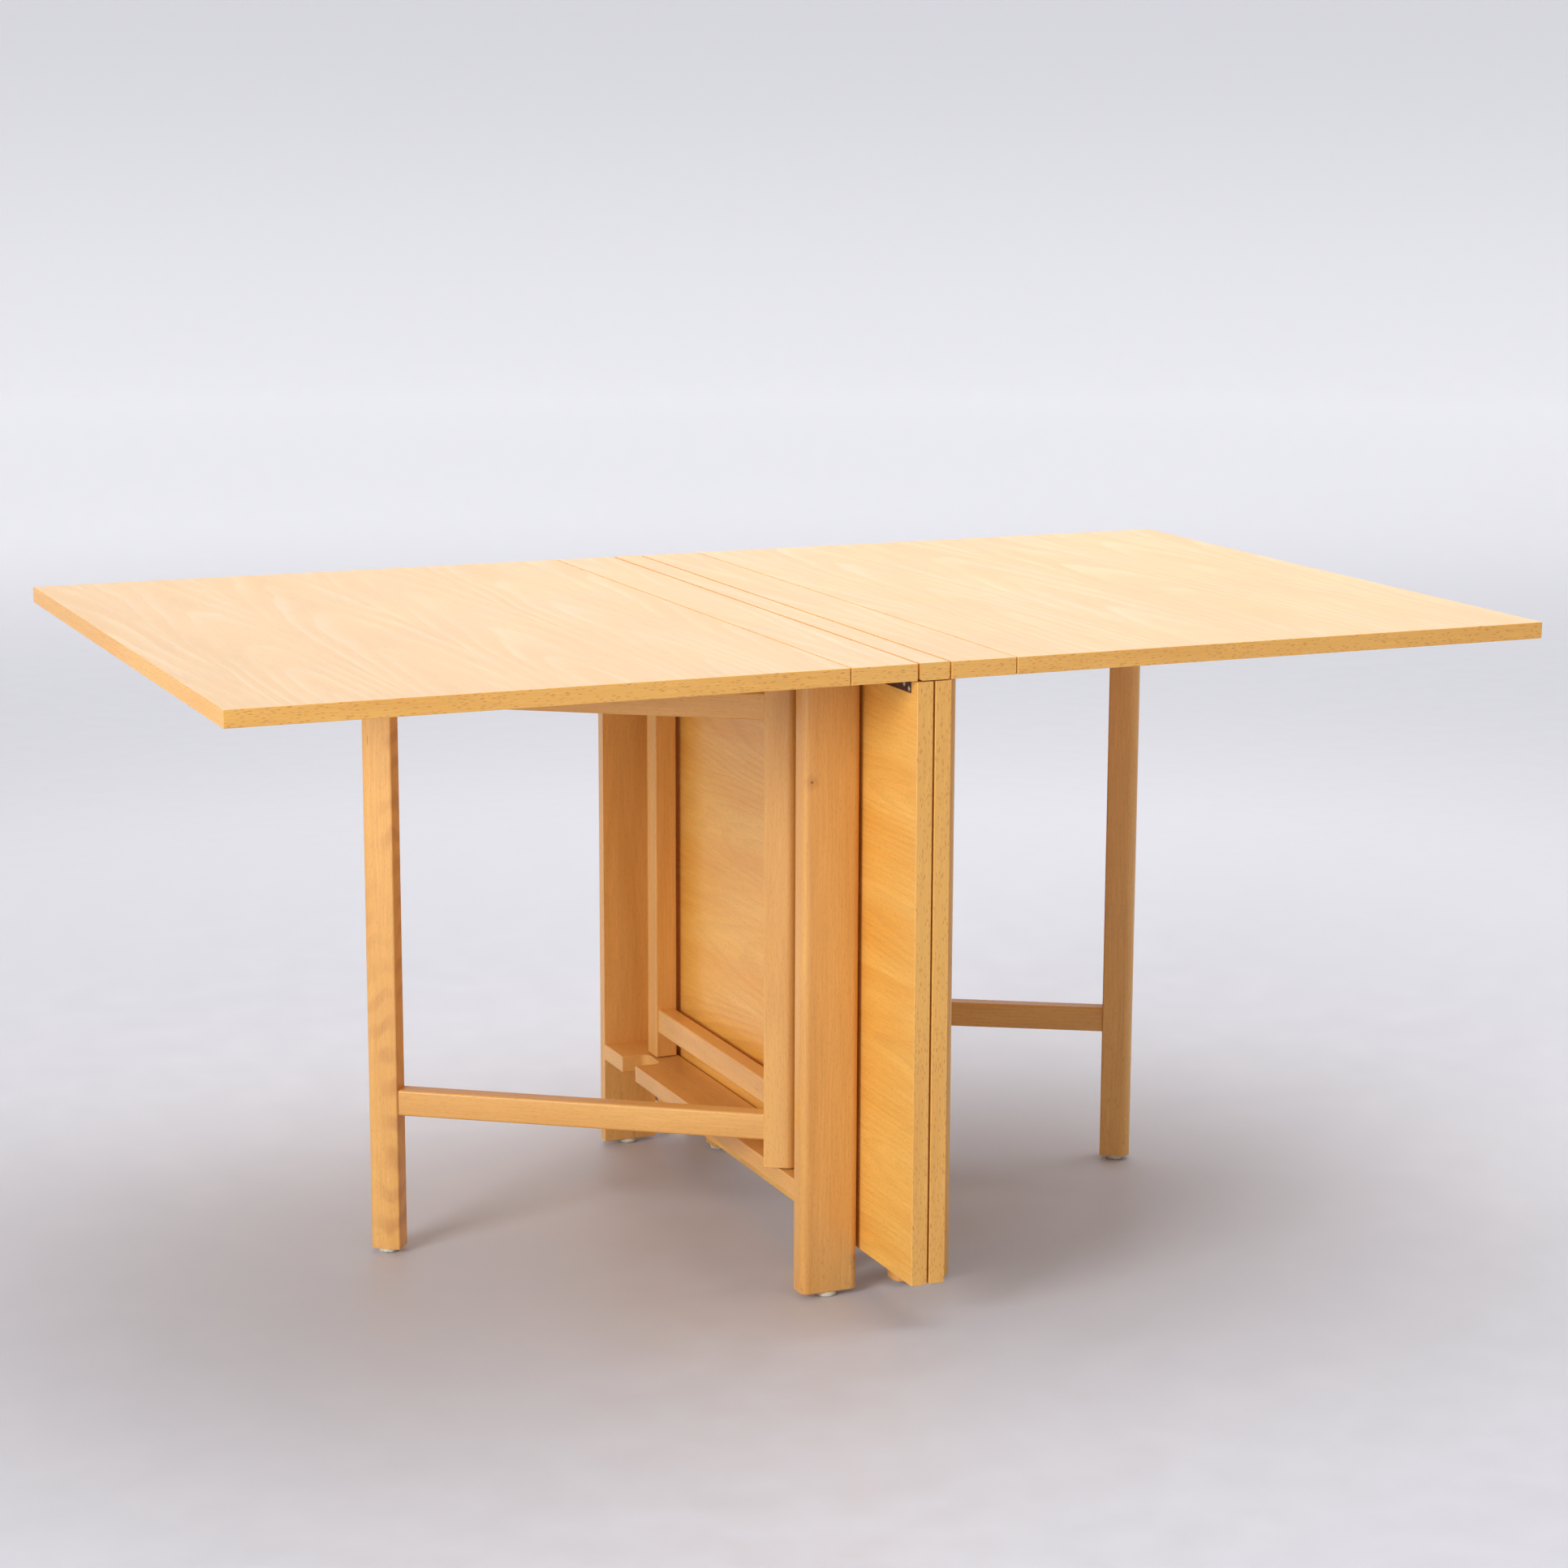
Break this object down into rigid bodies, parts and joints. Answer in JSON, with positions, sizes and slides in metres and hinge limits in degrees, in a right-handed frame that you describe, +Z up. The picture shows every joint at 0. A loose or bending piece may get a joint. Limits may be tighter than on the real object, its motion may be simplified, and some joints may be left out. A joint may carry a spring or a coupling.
{
  "type": "gateleg table",
  "caption": "Narrow gateleg table in pale wood that opens to a long dining top, with hinged leaves held up by swinging gates.",
  "frame": {"origin": "on the floor under the middle of the table", "axes": "+Z up, X along the table's length, Y across it"},
  "size_m": [1.493, 0.9, 0.72],
  "materials": {
    "top": "clear lacquer, satin",
    "frame": "clear lacquer, satin",
    "gate": "clear lacquer, satin",
    "dowel": "bare beech",
    "glide": "moulded",
    "hinge": "dark bronze",
    "screw": "plated",
    "steel": "plain"
  },
  "bodies": {
    "left_frame": {"left_front_leg": "frame", "left_back_leg": "frame", "left_lower_board": "frame", "left_upper_board": "frame", "left_narrow_top": "top", "left_frame_glides": "glide", "left_frame_dowels": "dowel", "left_top_screws": "screw", "left_outer_gate_pivot_pins": "steel", "left_inner_gate_pivot_pins": "steel", "left_narrow_top_hinge_plates": "hinge", "left_narrow_top_hinge_screws": "screw", "left_hinge_pins": "hinge"},
    "left_outer_leaf": {"left_outer_leaf": "top", "left_outer_leaf_hinge_plates": "hinge", "left_outer_leaf_hinge_screws": "screw"},
    "left_outer_gate": {"left_outer_gate_post": "gate", "left_outer_gate_leg": "gate", "left_outer_gate_upper_rail": "gate", "left_outer_gate_lower_rail": "gate", "left_outer_gate_glide": "glide"},
    "left_inner_leaf": {"left_inner_leaf": "top", "left_inner_leaf_hinge_plates": "hinge", "left_inner_leaf_hinge_screws": "screw"},
    "left_inner_gate": {"left_inner_gate_post": "gate", "left_inner_gate_leg": "gate", "left_inner_gate_upper_rail": "gate", "left_inner_gate_lower_rail": "gate", "left_inner_gate_glide": "glide"},
    "right_frame": {"right_front_leg": "frame", "right_back_leg": "frame", "right_lower_board": "frame", "right_upper_board": "frame", "right_narrow_top": "top", "right_frame_glides": "glide", "right_frame_dowels": "dowel", "right_top_screws": "screw", "right_outer_gate_pivot_pins": "steel", "right_inner_gate_pivot_pins": "steel", "right_narrow_top_hinge_plates": "hinge", "right_narrow_top_hinge_screws": "screw", "right_hinge_pins": "hinge"},
    "right_outer_leaf": {"right_outer_leaf": "top", "right_outer_leaf_hinge_plates": "hinge", "right_outer_leaf_hinge_screws": "screw"},
    "right_outer_gate": {"right_outer_gate_post": "gate", "right_outer_gate_leg": "gate", "right_outer_gate_upper_rail": "gate", "right_outer_gate_lower_rail": "gate", "right_outer_gate_glide": "glide"},
    "right_inner_leaf": {"right_inner_leaf": "top", "right_inner_leaf_hinge_plates": "hinge", "right_inner_leaf_hinge_screws": "screw"},
    "right_inner_gate": {"right_inner_gate_post": "gate", "right_inner_gate_leg": "gate", "right_inner_gate_upper_rail": "gate", "right_inner_gate_lower_rail": "gate", "right_inner_gate_glide": "glide"},
    "centre_strip": {"centre_strip": "top", "strip_dowels": "dowel"}
  },
  "joints": [
    {"name": "left_outer_gate_swing", "type": "hinge", "parent": "left_frame", "child": "left_outer_gate", "pos_m": [-0.078, -0.25, 0.4], "axis": [0, 0, 1], "range_deg": [-54.7, 0]},
    {"name": "left_outer_leaf_lift", "type": "hinge", "parent": "left_frame", "child": "left_outer_leaf", "pos_m": [-0.0945, 0, 0.7015], "axis": [0, 1, 0], "range_deg": [0, 2.5]},
    {"name": "left_inner_gate_swing", "type": "hinge", "parent": "left_frame", "child": "left_inner_gate", "pos_m": [-0.04, 0.238, 0.4], "axis": [0, 0, 1], "range_deg": [0, 0.6]},
    {"name": "right_outer_gate_swing", "type": "hinge", "parent": "right_frame", "child": "right_outer_gate", "pos_m": [0.078, 0.25, 0.4], "axis": [0, 0, 1], "range_deg": [-59.3, 0]},
    {"name": "right_outer_leaf_lift", "type": "hinge", "parent": "right_frame", "child": "right_outer_leaf", "pos_m": [0.0945, 0, 0.7015], "axis": [0, -1, 0], "range_deg": [0, 2.5]},
    {"name": "right_inner_gate_swing", "type": "hinge", "parent": "right_frame", "child": "right_inner_gate", "pos_m": [0.04, -0.238, 0.4], "axis": [0, 0, 1], "range_deg": [0, 0.6]},
    {"name": "halves_apart", "type": "slide", "parent": "left_frame", "child": "right_frame", "axis": [1, 0, 0], "range_m": [0, 2.06]},
    {"name": "centre_strip_slide", "type": "slide", "parent": "left_frame", "child": "centre_strip", "axis": [1, 0, 0], "range_m": [0, 1.03]},
    {"name": "left_inner_leaf_raise", "type": "hinge", "parent": "left_frame", "child": "left_inner_leaf", "pos_m": [-0.0196, 0, 0.7015], "axis": [0, -1, 0], "range_deg": [0, 90]},
    {"name": "right_inner_leaf_raise", "type": "hinge", "parent": "right_frame", "child": "right_inner_leaf", "pos_m": [0.0196, 0, 0.7015], "axis": [0, 1, 0], "range_deg": [0, 90]}
  ],
  "couplings": [
    {"joint": "centre_strip_slide", "follows": "halves_apart", "ratio": 0.5},
    {"joint": "left_inner_leaf_raise", "follows": "halves_apart", "rad_per_m": 0.7625},
    {"joint": "right_inner_leaf_raise", "follows": "halves_apart", "rad_per_m": 0.7625}
  ]
}
